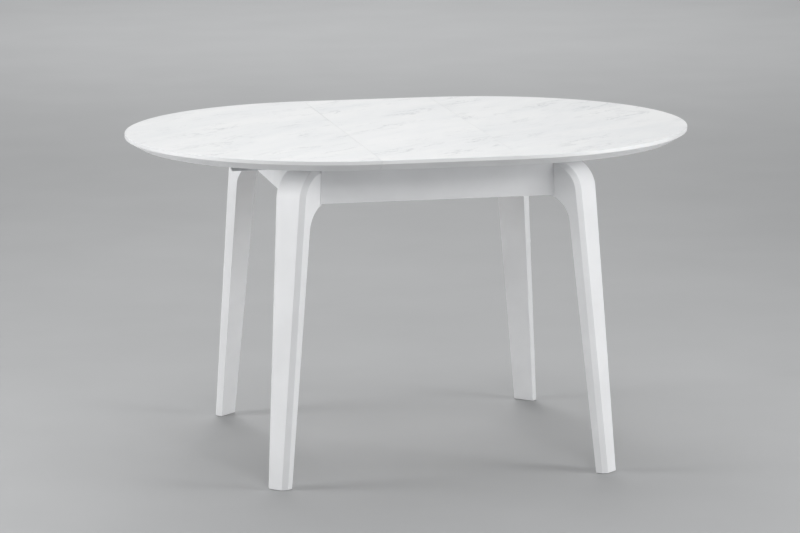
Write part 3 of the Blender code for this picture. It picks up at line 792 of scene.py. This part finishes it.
def cross_head_screw(length):
    """A countersunk screw, head down, its wide face at height zero, with a cross recess."""
    head = disc("head", SCREW_HEAD_RADIUS, 0.0, SCREW_HEAD_HEIGHT)
    edit(head)
    pick_faces(head, lambda centre, normal: normal.z > 0.9)
    bpy.ops.transform.resize(value=(0.5, 0.5, 1))
    bpy.ops.mesh.extrude_region_move(
        TRANSFORM_OT_translate={"value": (0, 0, length - SCREW_HEAD_HEIGHT)}
    )
    bpy.ops.mesh.bevel(offset=0.0008, segments=2, affect="EDGES")
    done()
    for long_x, long_y in ((CROSS_LENGTH, CROSS_WIDTH), (CROSS_WIDTH, CROSS_LENGTH)):
        tool = block("recess", (-long_x / 2, -long_y / 2, -0.001),
                     (long_x / 2, long_y / 2, CROSS_DEPTH))
        subtract(head, tool)
    soften(head, 0.00012, 2, radians(50))
    return head


def make_runner_screws(zinc):
    pattern = cross_head_screw(SCREW_LENGTH)
    for side_name in SIDES:
        for lane in LANES:
            node = f"runner_screw_{side_name}_{lane}"
            low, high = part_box(node)
            screw = pattern.copy()
            screw.data = pattern.data.copy()
            bpy.context.scene.collection.objects.link(screw)
            screw.name = f"finished_{node}"
            screw.rotation_euler.z = 0.4 + 1.3 * low.y
            screw.location = ((low.x + high.x) / 2, (low.y + high.y) / 2, low.z)
            apply_place(screw)
            smooth(screw)
            complete(screw, f"half_{side_name}", zinc, "zinc_plated_steel", node)
    bpy.data.objects.remove(pattern)


def finish_hardware(looks):
    """Eases the edges of every node that has no new piece yet, in its slot's material."""
    slots = {entry["node"]: entry["material_slot"] for entry in frame["record"]["subparts"]}
    bodies = frame["record"]["behaviour"]["bodies"]
    for body, names in bodies.items():
        for name in names:
            node = frame["nodes"][name]
            if node.hide_render:
                continue
            material = looks.get(name) or looks[slots[name]]
            ease_edges(name, node, body, material, slots[name])


# --- Floor, light and camera ---------------------------------------------------------------------
def floor():
    deselect_all()
    bpy.ops.mesh.primitive_plane_add(size=FLOOR_SIZE, location=(0, 0, 0))
    ground = bpy.context.object
    ground.name = "floor"
    look = Finish("pale_floor", (0.46, 0.465, 0.47), 0.75)
    shade = look.noise(look.place(), 2.5, 4)
    look.color(look.ramp(shade, [(0.3, (0.45, 0.455, 0.46)), (0.7, (0.47, 0.475, 0.48))]))
    ground.data.materials.append(look.material)


def softbox(name, azimuth, elevation, distance, size, power, aim=TABLE_MIDDLE):
    """A square soft light aimed at the table; azimuth 0 is the front, 90 the right."""
    across, up = radians(azimuth), radians(elevation)
    back = Vector((sin(across) * cos(up), -cos(across) * cos(up), sin(up)))
    lamp = bpy.data.lights.new(name, "AREA")
    lamp.shape = "SQUARE"
    lamp.size = size
    lamp.energy = power
    item = bpy.data.objects.new(name, lamp)
    bpy.context.scene.collection.objects.link(item)
    item.location = Vector(aim) + back * distance
    item.rotation_euler = (-back).to_track_quat("-Z", "Y").to_euler()


def studio_light():
    world = bpy.data.worlds.new("studio")
    bpy.context.scene.world = world
    world.use_nodes = True
    background = world.node_tree.nodes["Background"]
    background.inputs["Color"].default_value = (0.96, 0.98, 1.0, 1)
    background.inputs["Strength"].default_value = WORLD_BRIGHTNESS
    softbox("front_box", 0, 32, 4.2, 1.8, 46)
    softbox("left_box", -90, 9, 4.0, 1.6, 82)
    softbox("right_box", 60, 9, 4.0, 1.6, 70)
    softbox("overhead", 0, 90, 2.8, 2.4, 30)
    softbox("back_box", 180, 45, 4.2, 1.8, 42)
    softbox("backdrop_wash", 0, 90, 4.5, 6.0, 290, aim=(1.4, 8.5, 0))
    bpy.context.scene.view_settings.view_transform = "Standard"


def camera():
    lens = bpy.data.cameras.new("camera")
    lens.sensor_width = SENSOR_WIDTH
    lens.lens = LENS_LENGTH
    lens.clip_end = VIEW_DISTANCE
    item = bpy.data.objects.new("camera", lens)
    bpy.context.scene.collection.objects.link(item)
    item.matrix_world = (
        Matrix.Translation(CAMERA_PLACE)
        @ Matrix.Rotation(-TURNED_RIGHT, 4, "Z")
        @ Matrix.Rotation(pi / 2 - TILTED_DOWN, 4, "X")
        @ Matrix.Rotation(ROLLED, 4, "Z")
    )
    bpy.context.scene.camera = item


# --- The table -----------------------------------------------------------------------------------
def make_table():
    lacquer = satin_lacquer("white_satin_lacquer", (0.86, 0.865, 0.875))
    edge_paint = satin_lacquer("white_edge_paint", (0.88, 0.885, 0.89))
    marble = {
        "left": marble_laminate("white_marble_left", (0.3, 0.1, 0)),
        "leaf": marble_laminate("white_marble_leaf", (1.7, 2.4, 0)),
        "right": marble_laminate("white_marble_right", (3.1, 0.6, 0)),
    }
    looks = {
        "white_satin_lacquer": lacquer,
        "pale_beech": bare_wood("pale_beech", (1, 1, 6)),
        "anodised_aluminium": anodised_aluminium(),
        "zinc_plated_steel": zinc_plate(),
        "black_nylon": black_nylon(),
        "grey_felt": pressed_felt(),
    }
    for side_name in SIDES:
        looks[f"cross_rail_{side_name}"] = bare_wood(f"beech_rail_{side_name}", (6, 0.6, 6))
    for lane in LANES:
        looks[f"leaf_locator_{lane}"] = bare_wood(f"beech_locator_{lane}", (0.6, 6, 6))
    for side_name, side in SIDES.items():
        make_half(side_name, side, marble[side_name], edge_paint)
    make_leaf(marble["leaf"], edge_paint)
    make_legs(lacquer)
    make_apron("front", True, -1, lacquer)
    make_apron("back", True, 1, lacquer)
    make_apron("left", False, -1, lacquer)
    make_apron("right", False, 1, lacquer)
    make_corner_bolts(looks["zinc_plated_steel"])
    make_runner_screws(looks["zinc_plated_steel"])
    finish_hardware(looks)


make_table()
floor()
studio_light()
camera()
